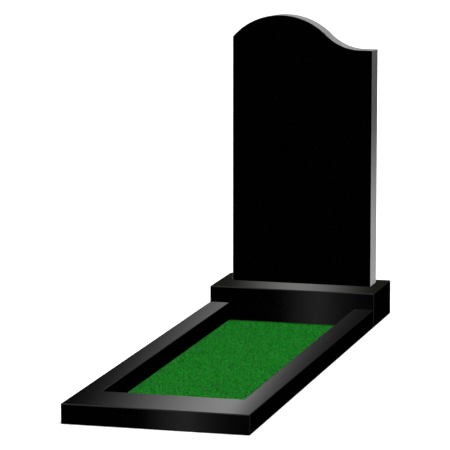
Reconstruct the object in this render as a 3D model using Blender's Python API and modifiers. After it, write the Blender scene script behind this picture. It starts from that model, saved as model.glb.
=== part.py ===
"""A grave monument of polished black granite.

A wave-topped stele stands on a plinth. In front of it three kerb bars frame a
planting bed, and a thin mat of artificial grass lies inside them.

Units are metres. +Z is up, the stele faces -Y, and the origin is the middle of
the whole footprint at ground level.
"""
import math

import bpy

# Plinth
BASE_WIDTH = 0.600
PLINTH_DEPTH = 0.280
PLINTH_HEIGHT = 0.121

# Stele
STELE_WIDTH = 0.510
STELE_THICKNESS = 0.092
STELE_HEIGHT = 0.966
TOP_FALL = 0.005
BACK_LEDGE = 0.063
STELE_SHIFT = 0.005

# Wave along the top of the stele, seen from the front: a round crown on the left
# runs into a hollow, which ends level at the low shoulder on the right
CROWN_RADIUS = 0.236
CROWN_INSET = 0.178
HOLLOW_RADIUS = 0.176
LOW_SHOULDER_HEIGHT = 0.849

# Kerb round the planting bed
BED_LENGTH = 1.720
KERB_HEIGHT = 0.064
SIDE_KERB_WIDTH = 0.072
FRONT_KERB_DEPTH = 0.198

# Grass mat
MAT_THICKNESS = 0.006

# Finish and fits
ARRIS = 0.003
ARRIS_SEGMENTS = 2
JOINT_GAP = 0.0003
SAME_PLACE = 0.00005
ARC_STEP = math.radians(1.25)
SHARP_ANGLE = math.radians(30)

# Lines that the pieces share, measured from the middle of the footprint
FRONT_Y = -(BED_LENGTH + PLINTH_DEPTH) / 2
PLINTH_FRONT_Y = FRONT_Y + BED_LENGTH
PLINTH_BACK_Y = PLINTH_FRONT_Y + PLINTH_DEPTH
BED_FRONT_Y = FRONT_Y + FRONT_KERB_DEPTH
BED_HALF_WIDTH = BASE_WIDTH / 2 - SIDE_KERB_WIDTH


def clear_scene():
    """Remove whatever the file opened with."""
    for old in list(bpy.data.objects):
        bpy.data.objects.remove(old, do_unlink=True)


def make_material(name, colour, roughness, metallic=0.0):
    """One plain Principled material."""
    material = bpy.data.materials.new(name)
    material.use_nodes = True
    material.diffuse_color = (*colour, 1.0)
    shader = material.node_tree.nodes["Principled BSDF"]
    shader.inputs["Base Color"].default_value = (*colour, 1.0)
    shader.inputs["Roughness"].default_value = roughness
    shader.inputs["Metallic"].default_value = metallic
    return material


def polished_granite(name):
    """Black granite with a mirror polish."""
    return make_material(name, (0.012, 0.012, 0.013), 0.08)


def grass_pile(name):
    """Bright green artificial grass."""
    return make_material(name, (0.020, 0.165, 0.022), 0.85)


def file_under(part, collection, root):
    """Move a part from where it was made to its own collection, under the root empty."""
    for home in list(part.users_collection):
        home.objects.unlink(part)
    collection.objects.link(part)
    part.parent = root


def ease_arrises(part):
    """Round every sharp edge of a stone by the same small radius."""
    bevel = part.modifiers.new("arris", 'BEVEL')
    bevel.width = ARRIS
    bevel.segments = ARRIS_SEGMENTS
    bevel.limit_method = 'ANGLE'
    bevel.angle_limit = SHARP_ANGLE
    return bevel


def ease_all_but_joint(part, joint_y):
    """Round a bar's edges, but leave the end face that meets its neighbour sharp all round.

    A rounded edge on both sides of a joint would open a groove there.
    """
    bevel = ease_arrises(part)
    bevel.limit_method = 'WEIGHT'
    vertices = part.data.vertices
    eased = part.data.attributes.new("bevel_weight_edge", 'FLOAT', 'EDGE')
    for edge, weight in zip(part.data.edges, eased.data):
        from_joint = [abs(vertices[v].co.y + part.location.y - joint_y) for v in edge.vertices]
        weight.value = 1.0 if max(from_joint) > SAME_PLACE else 0.0


def block(name, x_span, y_span, z_span, material):
    """A box between two values along each axis, with its scale applied."""
    spans = (x_span, y_span, z_span)
    bpy.ops.mesh.primitive_cube_add(size=1.0)
    part = bpy.context.object
    part.name = name
    part.data.name = name
    part.scale = [high - low for low, high in spans]
    bpy.ops.object.transform_apply(location=False, rotation=False, scale=True)
    part.location = [(low + high) / 2 for low, high in spans]
    part.data.materials.append(material)
    return part


def arc_points(centre, radius, start, end):
    """Points along a circular arc from one angle to another, both ends included."""
    steps = max(2, math.ceil(abs(end - start) / ARC_STEP))
    angles = [start + (end - start) * i / steps for i in range(steps + 1)]
    return [(centre[0] + radius * math.cos(a), centre[1] + radius * math.sin(a)) for a in angles]


def wave_line():
    """The stele's top edge from left to right, measured from its foot's middle.

    The crown's arc starts at the left edge. The hollow's arc touches it where the line
    between the two centres crosses both, and its lowest point is the low shoulder.
    """
    left = -STELE_WIDTH / 2
    right = STELE_WIDTH / 2
    crown = (left + CROWN_INSET, STELE_HEIGHT - CROWN_RADIUS)
    hollow_z = LOW_SHOULDER_HEIGHT + HOLLOW_RADIUS
    reach = CROWN_RADIUS + HOLLOW_RADIUS
    touch = math.asin(min(1.0, (hollow_z - crown[1]) / reach))
    hollow = (crown[0] + reach * math.cos(touch), hollow_z)
    start = math.acos(-min(1.0, CROWN_INSET / CROWN_RADIUS))
    end_x = min(hollow[0], right)
    end = -math.acos((end_x - hollow[0]) / HOLLOW_RADIUS)
    line = arc_points(crown, CROWN_RADIUS, start, touch)
    line += arc_points(hollow, HOLLOW_RADIUS, touch - math.pi, end)[1:]
    if end_x < right - SAME_PLACE:
        line.append((right, line[-1][1]))
    return line


def build_stele(material):
    """An upright slab with a wave along its top, standing a little behind the plinth's middle.

    The top falls a little from the face to the back, so that water runs off behind.
    """
    wave = wave_line()
    foot = [(STELE_WIDTH / 2, 0.0), (-STELE_WIDTH / 2, 0.0)]
    half = STELE_THICKNESS / 2
    vertices = [(x, -half, z) for x, z in wave + foot]
    vertices += [(x, half, z - TOP_FALL) for x, z in wave]
    vertices += [(x, half, z) for x, z in foot]
    count = len(wave + foot)
    faces = [tuple(reversed(range(count))), tuple(range(count, 2 * count))]
    for i in range(count):
        j = (i + 1) % count
        faces.append((i, j, j + count, i + count))
    mesh = bpy.data.meshes.new("stele")
    mesh.from_pydata(vertices, [], faces)
    mesh.materials.append(material)
    part = bpy.data.objects.new("stele", mesh)
    bpy.context.collection.objects.link(part)
    middle_y = PLINTH_BACK_Y - BACK_LEDGE - half
    part.location = (STELE_SHIFT, middle_y, PLINTH_HEIGHT + JOINT_GAP)
    ease_arrises(part)
    return part


def build_plinth(material):
    """The block that carries the stele, as wide as the kerb."""
    part = block(
        "plinth",
        (-BASE_WIDTH / 2, BASE_WIDTH / 2),
        (PLINTH_FRONT_Y, PLINTH_BACK_Y),
        (0.0, PLINTH_HEIGHT),
        material)
    ease_arrises(part)
    return part


def build_front_kerb(material):
    """The broad bar across the foot of the bed, over the full width."""
    part = block(
        "kerb_front",
        (-BASE_WIDTH / 2, BASE_WIDTH / 2),
        (FRONT_Y, BED_FRONT_Y),
        (0.0, KERB_HEIGHT),
        material)
    ease_all_but_joint(part, BED_FRONT_Y)
    return part


def build_side_kerb(name, side, material):
    """A narrow bar along one side, butted between the front bar and the plinth."""
    joint_y = BED_FRONT_Y + JOINT_GAP
    part = block(
        name,
        sorted((side * BED_HALF_WIDTH, side * BASE_WIDTH / 2)),
        (joint_y, PLINTH_FRONT_Y - JOINT_GAP),
        (0.0, KERB_HEIGHT),
        material)
    ease_all_but_joint(part, joint_y)
    return part


def build_grass_mat(material):
    """The mat that covers the ground inside the kerb, cut to fit."""
    half_width = BED_HALF_WIDTH - JOINT_GAP
    return block(
        "grass_mat",
        (-half_width, half_width),
        (BED_FRONT_Y + JOINT_GAP, PLINTH_FRONT_Y - JOINT_GAP),
        (0.0, MAT_THICKNESS),
        material)


def main():
    """Build the whole monument in one collection, under one empty."""
    clear_scene()
    collection = bpy.data.collections.new("headstone")
    bpy.context.scene.collection.children.link(collection)
    root = bpy.data.objects.new("headstone_origin", None)
    collection.objects.link(root)
    parts = [
        build_stele(polished_granite("stele_granite")),
        build_plinth(polished_granite("plinth_granite")),
        build_front_kerb(polished_granite("kerb_front_granite")),
        build_side_kerb("kerb_left", -1, polished_granite("kerb_left_granite")),
        build_side_kerb("kerb_right", 1, polished_granite("kerb_right_granite")),
        build_grass_mat(grass_pile("grass")),
    ]
    for part in parts:
        file_under(part, collection, root)


main()
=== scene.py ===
"""Looks for a polished black granite headstone with a kerb and a bed of artificial grass.

The stones keep their solids and get a granite finish. The grass mat is made here, blade
by blade, on a thin backing. Units are metres and +Z is up.
"""
import math

import bpy
import numpy as np
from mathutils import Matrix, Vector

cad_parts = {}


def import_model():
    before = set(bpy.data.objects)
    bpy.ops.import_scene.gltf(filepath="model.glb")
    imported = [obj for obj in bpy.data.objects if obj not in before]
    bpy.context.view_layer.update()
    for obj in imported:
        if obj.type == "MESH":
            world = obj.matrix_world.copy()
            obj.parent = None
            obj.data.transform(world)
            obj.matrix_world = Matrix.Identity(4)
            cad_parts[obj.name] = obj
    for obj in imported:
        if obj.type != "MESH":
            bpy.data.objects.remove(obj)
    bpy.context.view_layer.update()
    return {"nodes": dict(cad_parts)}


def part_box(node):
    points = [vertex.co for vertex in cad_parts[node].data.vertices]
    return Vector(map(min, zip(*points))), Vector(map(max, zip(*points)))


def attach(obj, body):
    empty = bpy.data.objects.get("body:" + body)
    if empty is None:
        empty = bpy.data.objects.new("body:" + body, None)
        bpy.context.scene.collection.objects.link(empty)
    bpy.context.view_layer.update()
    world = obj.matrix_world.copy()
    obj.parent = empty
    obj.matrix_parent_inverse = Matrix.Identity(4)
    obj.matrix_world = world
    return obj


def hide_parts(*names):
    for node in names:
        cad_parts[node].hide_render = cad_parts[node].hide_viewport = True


BODY = "root"
KERB_BARS = ("kerb_front", "kerb_left", "kerb_right")

# Camera, worked out from the corners of the stones in a picture 450 pixels wide
PICTURE_WIDTH = 450
FOCAL_PIXELS = 3141.9
SENSOR_WIDTH = 36.0
CAMERA_PLACE = (2.6493, -9.9400, 2.1821)
CAMERA_TURN = math.radians(15.188)
CAMERA_DIP = math.radians(9.447)

# Shape of the grass mat
BACKING_THICKNESS = 0.0015
EDGE_CLEARANCE = 0.0005
MAT_PANELS = 2
GRASS_SEED = 7
TUFT_SPACING = 0.0042
BLADES_PER_TUFT = 4
BLADE_WIDTH = 0.0012
BLADE_TIP_WIDTH = 0.0005
BLADE_REACH = 0.0050
LEAST_REACH = 0.35
LEAST_HEIGHT = 0.55

# At the very edge of the mat a blade keeps this share of its height and loses this much tone, a painted
# shade along the mat's edge
BORDER_WIDTH = 0.030
BORDER_HEIGHT = 0.4
BORDER_PAINTED_SHADE = 0.3

# Colour of the grass, by each blade's tone from dark to light
BLADE_TONE = (0.3, 0.7)
ROOT_AND_TIP_TONE = (-0.25, 0.10)
CLUMP_SIZE = 0.012
CLUMP_TONE = (-0.2, 0.2)
BLUISH_GREENS = (
    (0.0, (0.0003, 0.072, 0.003)),
    (0.5, (0.0008, 0.239, 0.008)),
    (1.0, (0.0020, 0.396, 0.014)),
)
YELLOWISH_GREENS = (
    (0.0, (0.0020, 0.072, 0.001)),
    (0.5, (0.0052, 0.235, 0.003)),
    (1.0, (0.0110, 0.396, 0.005)),
)
PATCH_SIZE = 0.010
PATCH_EDGE = (0.40, 0.60)
BATCH_SHIFT = (3.7, 1.9, 0.0)
WEAR_SHIFT = (8.3, 5.1, 0.0)
WORN_GREEN = (0.055, 0.255, 0.082)
WORN_SHARE = 0.29
# Painted shade: a dark strip of pile along the plinth's foot
PAINTED_SHADE_WIDTH = 0.040
PAINTED_SHADE_GREEN = (0.002, 0.012, 0.002)
PAINTED_SHADE_SHARE = 0.92
FIBRE_ROUGHNESS = 0.75
FIBRE_SPECULAR = 0.05
WEAVE_SIZE = 0.002
WEAVE_DEPTH = 0.0004
WEAVE_ROUGHNESS = 0.9
WEAVE_GREENS = ((0.3, (0.004, 0.040, 0.006)), (0.7, (0.010, 0.090, 0.014)))

# Granite: colours of ground, grain and fleck
BLACK_GRANITE = ((0.0006, 0.0006, 0.0007), (0.0035, 0.0035, 0.0040), (0.030, 0.029, 0.026))
HONED_GRANITE = ((0.21, 0.21, 0.21), (0.29, 0.29, 0.29), (0.42, 0.42, 0.41))
CRYSTAL_SIZE = 0.0025
GRAIN_EDGE = (0.62, 0.80)
CLOUD_SIZE = 0.02
CLOUD_EDGE = (0.35, 0.65)
CLOUD_SHARE = 0.5
FLECK_SIZE = 0.0016
FLECK_EDGE = (0.90, 0.93)
STONE_IOR = 1.5
GLOSS_ROUGHNESS = (0.065, 0.085)
GLOSS_PATCH = 0.004
SATIN_ROUGHNESS = (0.34, 0.42)
SATIN_PATCH = 0.003
POLISH_DEPTH = 0.0006
RELIEF_SIZE = 0.0020
RELIEF_DEPTH = 0.00015

# Soft noise seldom leaves this range
NOISE_RANGE = (0.3, 0.7)

# Floor
FLOOR_HALF_SIZE = 60.0
FLOOR_DROP = 0.0005
FLOOR_PATCH = 0.5
FLOOR_GREYS = ((0.0, (0.86, 0.86, 0.86)), (1.0, (0.90, 0.90, 0.90)))
FLOOR_ROUGHNESS = 0.9

# Main light
OVERHEAD_STRENGTH = 4.35
OVERHEAD_SPREAD = math.radians(25)
OVERHEAD_LEAN = math.radians(7)

# Spots for the stele's honed edges
SPOT_POWER = 250.0
SPOT_SOFTNESS = 0.05
SPOT_DISTANCE = 2.5
SPOT_RADIUS = 1.02
SPOT_SETBACK = 0.3
SPOT_HEIGHT = 0.25
SPOT_AIM_HEIGHT = -0.15

# Room: the edges are sines, the dome's of the height above the horizon, the panels' of the turn aside
DOME_EDGE = (math.sin(math.radians(14.0)), math.sin(math.radians(32.0)))
DOME_STRENGTH = 0.5
SIDE_EDGE = (0.45, 0.85)
SIDE_STRENGTH = 0.30

# Glow panels: y, then the spans in x and z. No two share a y, because they would dim each other.
KERB_PANEL = (3.0, (-2.6, 0.4), (0.0, 2.0))
PLINTH_PANEL = (3.1, (-2.6, 1.4), (0.0, 2.0))
HAZE_PANEL = (3.2, (-2.6, 1.4), (0.0, 2.0))
KERB_FRONT_PANEL = (-3.0, (-0.7, 0.1), (-1.2, 0.0))
PLINTH_FRONT_PANEL = (-2.9, (-1.0, -0.2), (-1.2, 0.0))

# Sheen on the kerb's top
KERB_LEAN = 0.617
KERB_CLIMB = (-1.125, -0.184)
KERB_PEAK = -0.217
KERB_FADE = 0.0787
KERB_STRENGTH = 0.79
KERB_TOP_EDGE = (1.3, 2.0)
KERB_BOTTOM_EDGE = (0.0, 0.4)

# Sheen and haze on the plinth's top
PLINTH_CLIMB = (-0.895, -0.463)
PLINTH_FALL = (-0.656, -0.222)
PLINTH_STRENGTH = 0.544
HAZE_LEFT_EDGE = (-2.6, -2.0)
HAZE_RIGHT_EDGE = (0.8, 1.4)
HAZE_STRENGTH = 0.0285
HAZE_TINT = (1.0, 1.0, 0.75)
WHITE = (1.0, 1.0, 1.0)

# Glow on the faces that look forwards: the x of its start and of its peak, and its reach past the peak
FRONT_STRENGTH = 0.43
KERB_FRONT = (-0.644, -0.466, 0.080)
PLINTH_FRONT = (-0.956, -0.761, 0.087)


class Nodes:
    """A node tree, with short calls for the nodes that the finishes and the room share."""

    def __init__(self, tree):
        self.tree = tree

    def new(self, kind):
        """A new node of one kind."""
        return self.tree.nodes.new(kind)

    def feed(self, value, socket):
        """Give a socket a fixed number or colour, or join another node's output to it."""
        if isinstance(value, bpy.types.NodeSocket):
            self.tree.links.new(value, socket)
        elif isinstance(value, tuple):
            socket.default_value = (*value, 1.0)
        else:
            socket.default_value = value

    def split(self, vector):
        """The three numbers of a vector."""
        node = self.new("ShaderNodeSeparateXYZ")
        self.feed(vector, node.inputs["Vector"])
        return node.outputs

    def math(self, operation, *values):
        """One sum, of numbers that are each a socket or a value."""
        node = self.new("ShaderNodeMath")
        node.operation = operation
        for value, socket in zip(values, node.inputs):
            self.feed(value, socket)
        return node.outputs["Value"]

    def product(self, first, *others):
        """Several numbers multiplied together."""
        for other in others:
            first = self.math('MULTIPLY', first, other)
        return first

    def span(self, source, given, wanted, kind='LINEAR'):
        """A number carried from one range to another, and held at its ends."""
        node = self.new("ShaderNodeMapRange")
        node.interpolation_type = kind
        for name, value in zip(("From Min", "From Max", "To Min", "To Max"), (*given, *wanted)):
            node.inputs[name].default_value = value
        self.feed(source, node.inputs["Value"])
        return node.outputs["Result"]

    def smooth(self, source, given, wanted=(0.0, 1.0)):
        """A number carried from one range to another with soft ends."""
        return self.span(source, given, wanted, 'SMOOTHSTEP')

    def fade(self, source, start, reach):
        """One up to a start, and past it a number that is divided by e over each reach."""
        past = self.math('MAXIMUM', self.math('SUBTRACT', source, start), 0.0)
        return self.math('EXPONENT', self.math('DIVIDE', past, -reach))


class Finish(Nodes):
    """A material in the making, with patterns laid out by the Object coordinates."""

    def __init__(self, name):
        self.material = bpy.data.materials.new(name)
        self.material.use_nodes = True
        super().__init__(self.material.node_tree)
        self.shader = self.tree.nodes["Principled BSDF"]
        self.place = self.new("ShaderNodeTexCoord").outputs["Object"]

    def put(self, socket, value):
        """Feed one of the shader's own sockets."""
        self.feed(value, self.shader.inputs[socket])

    def axis(self, name):
        """One of the Object coordinates."""
        return self.split(self.place)[name]

    def noise(self, size, detail=2.0, shift=(0.0, 0.0, 0.0)):
        """Soft noise in patches about one size across, shifted where it has to differ from another."""
        mapping = self.new("ShaderNodeMapping")
        mapping.inputs["Location"].default_value = shift
        self.feed(self.place, mapping.inputs["Vector"])
        node = self.new("ShaderNodeTexNoise")
        node.inputs["Scale"].default_value = 1.0 / size
        node.inputs["Detail"].default_value = detail
        self.feed(mapping.outputs["Vector"], node.inputs["Vector"])
        return node.outputs["Fac"]

    def crystals(self, size):
        """Cells about one size across, each with its own random colour."""
        node = self.new("ShaderNodeTexVoronoi")
        node.inputs["Scale"].default_value = 1.0 / size
        self.feed(self.place, node.inputs["Vector"])
        return node.outputs["Color"]

    def ramp(self, source, stops):
        """A colour ramp through (position, colour) stops."""
        node = self.new("ShaderNodeValToRGB")
        elements = node.color_ramp.elements
        while len(elements) < len(stops):
            elements.new(1.0)
        for element, (position, colour) in zip(elements, stops):
            element.position = position
            element.color = (*colour, 1.0)
        self.feed(source, node.inputs["Fac"])
        return node.outputs["Color"]

    def mix(self, amount, first, second):
        """Two colours mixed by an amount."""
        node = self.new("ShaderNodeMix")
        node.data_type = 'RGBA'
        amount_socket, first_socket, second_socket = (node.inputs[i] for i in (0, 6, 7))
        self.feed(amount, amount_socket)
        self.feed(first, first_socket)
        self.feed(second, second_socket)
        return node.outputs[2]

    def bump(self, height, depth):
        """Relief of a real depth, put on the shader's normal."""
        node = self.new("ShaderNodeBump")
        node.inputs["Distance"].default_value = depth
        self.feed(height, node.inputs["Height"])
        self.put("Normal", node.outputs["Normal"])


def crystal_colour(finish, granite):
    """Granite's colour: an even ground, other grains in clouds, and a few tiny bright flecks."""
    ground, grain, fleck = granite
    low, high = GRAIN_EDGE
    grains = finish.ramp(finish.crystals(CRYSTAL_SIZE), ((low, ground), (high, grain)))
    cloud = finish.span(finish.noise(CLOUD_SIZE, detail=3.0), CLOUD_EDGE, (0.0, CLOUD_SHARE))
    body = finish.mix(cloud, grains, ground)
    sparkle = finish.span(finish.crystals(FLECK_SIZE), FLECK_EDGE, (0.0, 1.0))
    return finish.mix(sparkle, body, fleck)


def polished_granite(name):
    """Black granite with a mirror polish, its crystals just showing under it."""
    finish = Finish(name)
    finish.put("Base Color", crystal_colour(finish, BLACK_GRANITE))
    finish.put("Roughness", finish.span(finish.noise(GLOSS_PATCH), NOISE_RANGE, GLOSS_ROUGHNESS))
    finish.put("IOR", STONE_IOR)
    return finish.material


def stele_granite(name, face_y):
    """Black granite, polished on the face alone and honed grey on the edges and the back."""
    finish = Finish(name)
    honed = finish.span(finish.axis("Y"), (face_y + POLISH_DEPTH, face_y + 2 * POLISH_DEPTH), (0.0, 1.0))
    black = crystal_colour(finish, BLACK_GRANITE)
    grey = crystal_colour(finish, HONED_GRANITE)
    finish.put("Base Color", finish.mix(honed, black, grey))
    gloss = finish.span(finish.noise(GLOSS_PATCH), NOISE_RANGE, GLOSS_ROUGHNESS)
    satin = finish.span(finish.noise(SATIN_PATCH), NOISE_RANGE, SATIN_ROUGHNESS)
    rise = finish.product(honed, finish.math('SUBTRACT', satin, gloss))
    finish.put("Roughness", finish.math('ADD', gloss, rise))
    finish.put("IOR", STONE_IOR)
    finish.bump(finish.product(honed, finish.noise(RELIEF_SIZE, detail=3.0)), RELIEF_DEPTH)
    return finish.material


def grass_fibre(name, back_y):
    """Green plastic fibre: darker at the root, two batches mixed in patches, and paler where worn.

    A strip along the plinth's foot is darkened, a painted shade.
    """
    finish = Finish(name)
    tone = finish.new("ShaderNodeAttribute")
    tone.attribute_name = "tone"
    clump = finish.span(finish.noise(CLUMP_SIZE), NOISE_RANGE, CLUMP_TONE)
    shade = finish.math('ADD', tone.outputs["Fac"], clump)
    bluish = finish.ramp(shade, BLUISH_GREENS)
    yellowish = finish.ramp(shade, YELLOWISH_GREENS)
    batch = finish.noise(PATCH_SIZE, shift=BATCH_SHIFT)
    colour = finish.mix(finish.span(batch, PATCH_EDGE, (0.0, 1.0)), bluish, yellowish)
    wear = finish.noise(PATCH_SIZE, detail=1.0, shift=WEAR_SHIFT)
    colour = finish.mix(finish.span(wear, PATCH_EDGE, (0.0, WORN_SHARE)), colour, WORN_GREEN)
    # Painted shade: the pile is darkened towards the plinth's foot
    painted_shade = finish.smooth(finish.axis("Y"), (back_y - PAINTED_SHADE_WIDTH, back_y), (0.0, PAINTED_SHADE_SHARE))
    finish.put("Base Color", finish.mix(painted_shade, colour, PAINTED_SHADE_GREEN))
    finish.put("Roughness", FIBRE_ROUGHNESS)
    finish.put("Specular IOR Level", FIBRE_SPECULAR)
    return finish.material


def grass_backing(name):
    """The dark green plastic base that the blades are tufted into."""
    finish = Finish(name)
    weave = finish.noise(WEAVE_SIZE, detail=1.0)
    finish.put("Base Color", finish.ramp(weave, WEAVE_GREENS))
    finish.put("Roughness", WEAVE_ROUGHNESS)
    finish.bump(weave, WEAVE_DEPTH)
    return finish.material


def floor_paper(name):
    """Matt pale paper with a faint mottle."""
    finish = Finish(name)
    finish.put("Base Color", finish.ramp(finish.noise(FLOOR_PATCH), FLOOR_GREYS))
    finish.put("Roughness", FLOOR_ROUGHNESS)
    return finish.material


def glow(name, pattern, tint):
    """A clear material that gives light, as strong as its pattern says."""
    finish = Finish(name)
    finish.tree.nodes.remove(finish.shader)
    light = finish.new("ShaderNodeEmission")
    finish.feed(tint, light.inputs["Color"])
    finish.feed(pattern(finish), light.inputs["Strength"])
    clear = finish.new("ShaderNodeBsdfTransparent")
    both = finish.new("ShaderNodeAddShader")
    finish.feed(light.outputs["Emission"], both.inputs[0])
    finish.feed(clear.outputs["BSDF"], both.inputs[1])
    finish.feed(both.outputs["Shader"], finish.tree.nodes["Material Output"].inputs["Surface"])
    finish.material.cycles.emission_sampling = 'NONE'
    return finish.material


def kerb_glow(finish):
    """The kerb's sheen climbs slowly from one side and dies away quickly on the other, along a lean."""
    lean = finish.product(finish.axis("Z"), KERB_LEAN)
    across = finish.math('ADD', finish.axis("X"), lean)
    climb = finish.smooth(across, KERB_CLIMB)
    fall = finish.fade(across, KERB_PEAK, KERB_FADE)
    top = finish.smooth(finish.axis("Z"), KERB_TOP_EDGE, (KERB_STRENGTH, 0.0))
    bottom = finish.smooth(finish.axis("Z"), KERB_BOTTOM_EDGE)
    return finish.product(climb, climb, fall, top, bottom)


def plinth_glow(finish):
    """The sheen on the plinth's ledge, a round swell."""
    climb = finish.smooth(finish.axis("X"), PLINTH_CLIMB)
    fall = finish.smooth(finish.axis("X"), PLINTH_FALL, (PLINTH_STRENGTH, 0.0))
    return finish.product(climb, fall)


def plinth_haze(finish):
    """A faint light all along the plinth's top."""
    left = finish.smooth(finish.axis("X"), HAZE_LEFT_EDGE)
    right = finish.smooth(finish.axis("X"), HAZE_RIGHT_EDGE, (HAZE_STRENGTH, 0.0))
    return finish.product(left, right)


def front_glow(finish, start, peak, reach):
    """The upright glow on a face that looks forwards: it climbs evenly, then dies away from its peak."""
    climb = finish.span(finish.axis("X"), (start, peak), (0.0, FRONT_STRENGTH))
    return finish.product(climb, finish.fade(finish.axis("X"), peak, reach))


def kerb_front_glow(finish):
    """The front glow where the kerb's face mirrors it."""
    return front_glow(finish, *KERB_FRONT)


def plinth_front_glow(finish):
    """The front glow where the plinth's face mirrors it."""
    return front_glow(finish, *PLINTH_FRONT)


def make_piece(name, vertices, faces, material):
    """A mesh object at the origin, with its place in its vertices."""
    mesh = bpy.data.meshes.new(name)
    mesh.from_pydata(vertices, [], faces)
    mesh.update()
    mesh.materials.append(material)
    piece = bpy.data.objects.new(name, mesh)
    bpy.context.scene.collection.objects.link(piece)
    return piece


def tuft_grid(x_span, y_span, random):
    """Root points of the tufts: a square grid with each point moved at random within its cell."""
    xs = np.arange(x_span[0], x_span[1], TUFT_SPACING)
    ys = np.arange(y_span[0], y_span[1], TUFT_SPACING)
    grid_x, grid_y = np.meshgrid(xs, ys)
    roots = np.stack([grid_x.ravel(), grid_y.ravel()], axis=1)
    roots += random.uniform(0.0, TUFT_SPACING, roots.shape)
    roots[:, 0] = np.clip(roots[:, 0], *x_span)
    roots[:, 1] = np.clip(roots[:, 1], *y_span)
    return roots


def distance_inside(roots, x_span, y_span):
    """How far each root stands inside the mat's edge, from 0 there to 1 at the border's width."""
    to_side = np.minimum(roots[:, 0] - x_span[0], x_span[1] - roots[:, 0])
    to_end = np.minimum(roots[:, 1] - y_span[0], y_span[1] - roots[:, 1])
    return np.clip(np.minimum(to_side, to_end) / BORDER_WIDTH, 0.0, 1.0)


def blade_points(roots, angle, reach, height, x_span, y_span, foot_z):
    """The corners of the blades, four to each, for blades that are flat tapered strips.

    A blade is a surface of two parameters, across and along. Along it, the middle line
    leaves the root and leans outwards by its reach while it climbs to its own height.
    Across it, the strip spreads to each side of that line by half its width, which
    shrinks from the root's to the tip's. No corner passes the panel's edge.
    """
    along = np.array([0.0, 1.0])
    across = np.array([-0.5, 0.5])
    lean = np.stack([np.cos(angle), np.sin(angle)], axis=1)
    side = np.stack([-np.sin(angle), np.cos(angle)], axis=1)
    width = BLADE_WIDTH + (BLADE_TIP_WIDTH - BLADE_WIDTH) * along
    middle = roots[:, None, :] + lean[:, None, :] * (reach[:, None] * along)[:, :, None]
    spread = side[:, None, None, :] * (width[:, None] * across)[None, :, :, None]
    flat = middle[:, :, None, :] + spread
    flat[..., 0] = np.clip(flat[..., 0], *x_span)
    flat[..., 1] = np.clip(flat[..., 1], *y_span)
    climb = foot_z + height[:, None] * along
    climb = np.broadcast_to(climb[:, :, None, None], flat.shape[:3] + (1,))
    return np.concatenate([flat, climb], axis=3).reshape(-1, 3)


def blade_field(name, x_span, y_span, z_span, mat_y_span, seed, material):
    """One panel of pile, whose tufts lean out all round, with each blade's own reach and height.

    Towards the mat's edge the blades are shorter, and darker by painted shade. Each blade's face is its
    upper side.
    """
    random = np.random.default_rng(seed)
    roots = np.repeat(tuft_grid(x_span, y_span, random), BLADES_PER_TUFT, axis=0)
    count = len(roots)
    inside = distance_inside(roots, x_span, mat_y_span)
    quarter = np.tile(np.arange(BLADES_PER_TUFT), count // BLADES_PER_TUFT)
    angle = quarter * (2 * math.pi / BLADES_PER_TUFT) + random.uniform(0.0, math.pi, count)
    reach = BLADE_REACH * random.uniform(LEAST_REACH, 1.0, count)
    height = (z_span[1] - z_span[0]) * random.uniform(LEAST_HEIGHT, 1.0, count)
    height *= BORDER_HEIGHT + (1.0 - BORDER_HEIGHT) * inside
    # Painted shade: a blade's tone drops towards the mat's edge
    tone = random.uniform(*BLADE_TONE, count) - BORDER_PAINTED_SHADE * (1.0 - inside)
    vertices = blade_points(roots, angle, reach, height, x_span, y_span, z_span[0])
    first = np.arange(count)[:, None] * 4
    faces = np.concatenate([first + [0, 3, 1], first + [0, 2, 3]])
    piece = make_piece(name, vertices, faces, material)
    attribute = piece.data.attributes.new("tone", 'FLOAT', 'POINT')
    end_tones = tone[:, None] + np.array(ROOT_AND_TIP_TONE)
    attribute.data.foreach_set("value", np.repeat(end_tones.ravel(), 2))
    return piece


def backing_sheet(name, low, high, material):
    """The mat's base: a flat sheet with four low sides and an underside."""
    x0, y0, z0 = low
    x1, y1, _ = high
    top = z0 + BACKING_THICKNESS
    vertices = [(x, y, z) for z in (z0, top) for x, y in ((x0, y0), (x1, y0), (x1, y1), (x0, y1))]
    sides = [(i, (i + 1) % 4, (i + 1) % 4 + 4, i + 4) for i in range(4)]
    return make_piece(name, vertices, [(3, 2, 1, 0), (4, 5, 6, 7)] + sides, material)


def lay_grass():
    """The mat: a backing and its pile, in panels, in the space that the solid mat holds."""
    low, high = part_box("grass_mat")
    pieces = [backing_sheet("grass_backing", low, high, grass_backing("grass_backing"))]
    x_span = (low.x + EDGE_CLEARANCE, high.x - EDGE_CLEARANCE)
    z_span = (low.z + BACKING_THICKNESS, high.z)
    edges = np.linspace(low.y + EDGE_CLEARANCE, high.y - EDGE_CLEARANCE, MAT_PANELS + 1)
    mat_y_span = (edges[0], edges[-1])
    fibre = grass_fibre("grass_fibre", high.y)
    for i, y_span in enumerate(zip(edges[:-1], edges[1:])):
        name = f"grass_pile_{i + 1}"
        pieces.append(blade_field(name, x_span, y_span, z_span, mat_y_span, GRASS_SEED + i, fibre))
    for piece in pieces:
        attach(piece, BODY)
        piece.visible_glossy = False
    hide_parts("grass_mat")


def finish_stones(nodes):
    """Put the granite on the solids, which don't show in each other's polish."""
    kerb = polished_granite("kerb_granite")
    finishes = {bar: kerb for bar in KERB_BARS}
    finishes["plinth"] = polished_granite("plinth_granite")
    finishes["stele"] = stele_granite("stele_granite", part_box("stele")[0].y)
    for name, material in finishes.items():
        for slot in nodes[name].material_slots:
            slot.material = material
        nodes[name].visible_glossy = False


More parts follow.
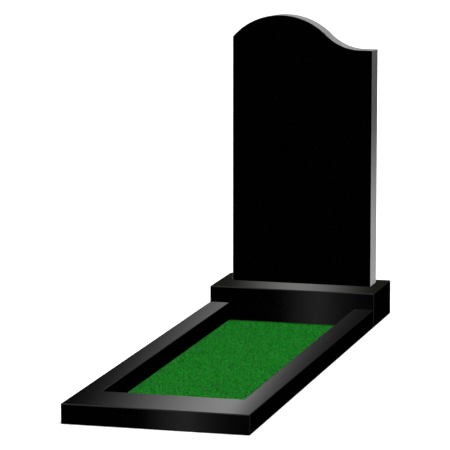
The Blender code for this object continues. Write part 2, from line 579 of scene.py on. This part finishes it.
def lay_floor():
    """A pale floor, which doesn't show in the polish."""
    h = FLOOR_HALF_SIZE
    corners = [(x, y, -FLOOR_DROP) for x, y in ((-h, -h), (h, -h), (h, h), (-h, h))]
    floor = make_piece("floor", corners, [(0, 1, 2, 3)], floor_paper("floor_paper"))
    floor.visible_glossy = False
    floor.visible_diffuse = False


def shine_only_on(light, nodes):
    """Let a light reach these stones and nothing else."""
    group = bpy.data.collections.new(light.name + "_reach")
    for node in nodes:
        group.objects.link(node)
    light.light_linking.receiver_collection = group


def hang_lamp(name, light):
    """A lamp object for a light."""
    lamp = bpy.data.objects.new(name, light)
    bpy.context.scene.collection.objects.link(lamp)
    return lamp


def hang_overhead():
    """The main light: broad, soft and a little to the right of overhead, left out of the polish."""
    light = bpy.data.lights.new("overhead", 'SUN')
    light.energy = OVERHEAD_STRENGTH
    light.angle = OVERHEAD_SPREAD
    lamp = hang_lamp("overhead", light)
    lamp.rotation_euler = (0.0, OVERHEAD_LEAN, 0.0)
    lamp.visible_glossy = False


def hang_edge_spot(name, side, stele):
    """A soft spot low beside the stele and a little behind its face, for the honed edge only."""
    light = bpy.data.lights.new(name, 'SPOT')
    light.energy = SPOT_POWER
    light.spot_size = 2 * math.atan(SPOT_RADIUS / SPOT_DISTANCE)
    light.spot_blend = 1.0
    light.shadow_soft_size = SPOT_SOFTNESS
    lamp = hang_lamp(name, light)
    middle_y = sum(corner.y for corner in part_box("stele")) / 2
    target = Vector((0.0, middle_y, SPOT_AIM_HEIGHT))
    lamp.location = (side * SPOT_DISTANCE, middle_y + SPOT_SETBACK, SPOT_HEIGHT)
    lamp.rotation_euler = (target - lamp.location).to_track_quat('-Z', 'Y').to_euler()
    shine_only_on(lamp, [stele])


def glow_panel(name, place, pattern, nodes, tint=WHITE):
    """An upright panel that shows only in the polish of some stones, as a soft-edged glow."""
    y, (x0, x1), (z0, z1) = place
    corners = [(x0, y, z0), (x1, y, z0), (x1, y, z1), (x0, y, z1)]
    panel = make_piece(name, corners, [(0, 1, 2, 3)], glow(name, pattern, tint))
    panel.visible_camera = False
    panel.visible_diffuse = False
    panel.visible_shadow = False
    shine_only_on(panel, nodes)


def studio_surround():
    """The room: a dim dome overhead and a long soft panel on each side, dark towards the front and back.

    The camera itself sees plain white. The other rays see the brighter of two patterns. The
    dome's grows with the height above the horizon. The side panels' grows with the sine of
    the angle between the ray, seen from above, and the line that the monument faces along.
    """
    world = bpy.data.worlds.new("studio")
    world.use_nodes = True
    world.node_tree.nodes.clear()
    bpy.context.scene.world = world
    room = Nodes(world.node_tree)
    x, y, z = room.split(room.new("ShaderNodeTexCoord").outputs["Generated"])
    level = room.math('SQRT', room.math('ADD', room.product(x, x), room.product(y, y)))
    sideways = room.math('DIVIDE', room.math('ABSOLUTE', x), level)
    dome = room.smooth(z, DOME_EDGE, (0.0, DOME_STRENGTH))
    sides = room.smooth(sideways, SIDE_EDGE, (0.0, SIDE_STRENGTH))
    mirrored = room.new("ShaderNodeBackground")
    room.feed(room.math('MAXIMUM', dome, sides), mirrored.inputs["Strength"])
    seen = room.new("ShaderNodeBackground")
    for background in (mirrored, seen):
        room.feed(WHITE, background.inputs["Color"])
    choice = room.new("ShaderNodeMixShader")
    room.feed(room.new("ShaderNodeLightPath").outputs["Is Camera Ray"], choice.inputs["Fac"])
    room.feed(mirrored.outputs["Background"], choice.inputs[1])
    room.feed(seen.outputs["Background"], choice.inputs[2])
    room.feed(choice.outputs["Shader"], room.new("ShaderNodeOutputWorld").inputs["Surface"])


def light_up(nodes):
    """All the lights, and the panels that show in the polish."""
    studio_surround()
    hang_overhead()
    for name, side in (("edge_spot_left", -1), ("edge_spot_right", 1)):
        hang_edge_spot(name, side, nodes["stele"])
    kerb = [nodes[bar] for bar in KERB_BARS]
    plinth = [nodes["plinth"]]
    glow_panel("kerb_glow", KERB_PANEL, kerb_glow, kerb)
    glow_panel("plinth_glow", PLINTH_PANEL, plinth_glow, plinth)
    glow_panel("plinth_haze", HAZE_PANEL, plinth_haze, plinth, HAZE_TINT)
    glow_panel("kerb_front_glow", KERB_FRONT_PANEL, kerb_front_glow, kerb)
    glow_panel("plinth_front_glow", PLINTH_FRONT_PANEL, plinth_front_glow, plinth)


def place_camera():
    """The camera at the picture's own place, with a lens that gives its focal length in pixels."""
    data = bpy.data.cameras.new("camera")
    data.sensor_width = SENSOR_WIDTH
    data.lens = FOCAL_PIXELS / PICTURE_WIDTH * SENSOR_WIDTH
    camera = bpy.data.objects.new("camera", data)
    bpy.context.scene.collection.objects.link(camera)
    camera.location = CAMERA_PLACE
    camera.rotation_euler = (math.pi / 2 - CAMERA_DIP, 0.0, CAMERA_TURN)
    bpy.context.scene.camera = camera


def main():
    """Dress the frame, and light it."""
    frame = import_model()
    place_camera()
    finish_stones(frame["nodes"])
    lay_grass()
    lay_floor()
    light_up(frame["nodes"])
    bpy.context.scene.view_settings.view_transform = 'Standard'


main()
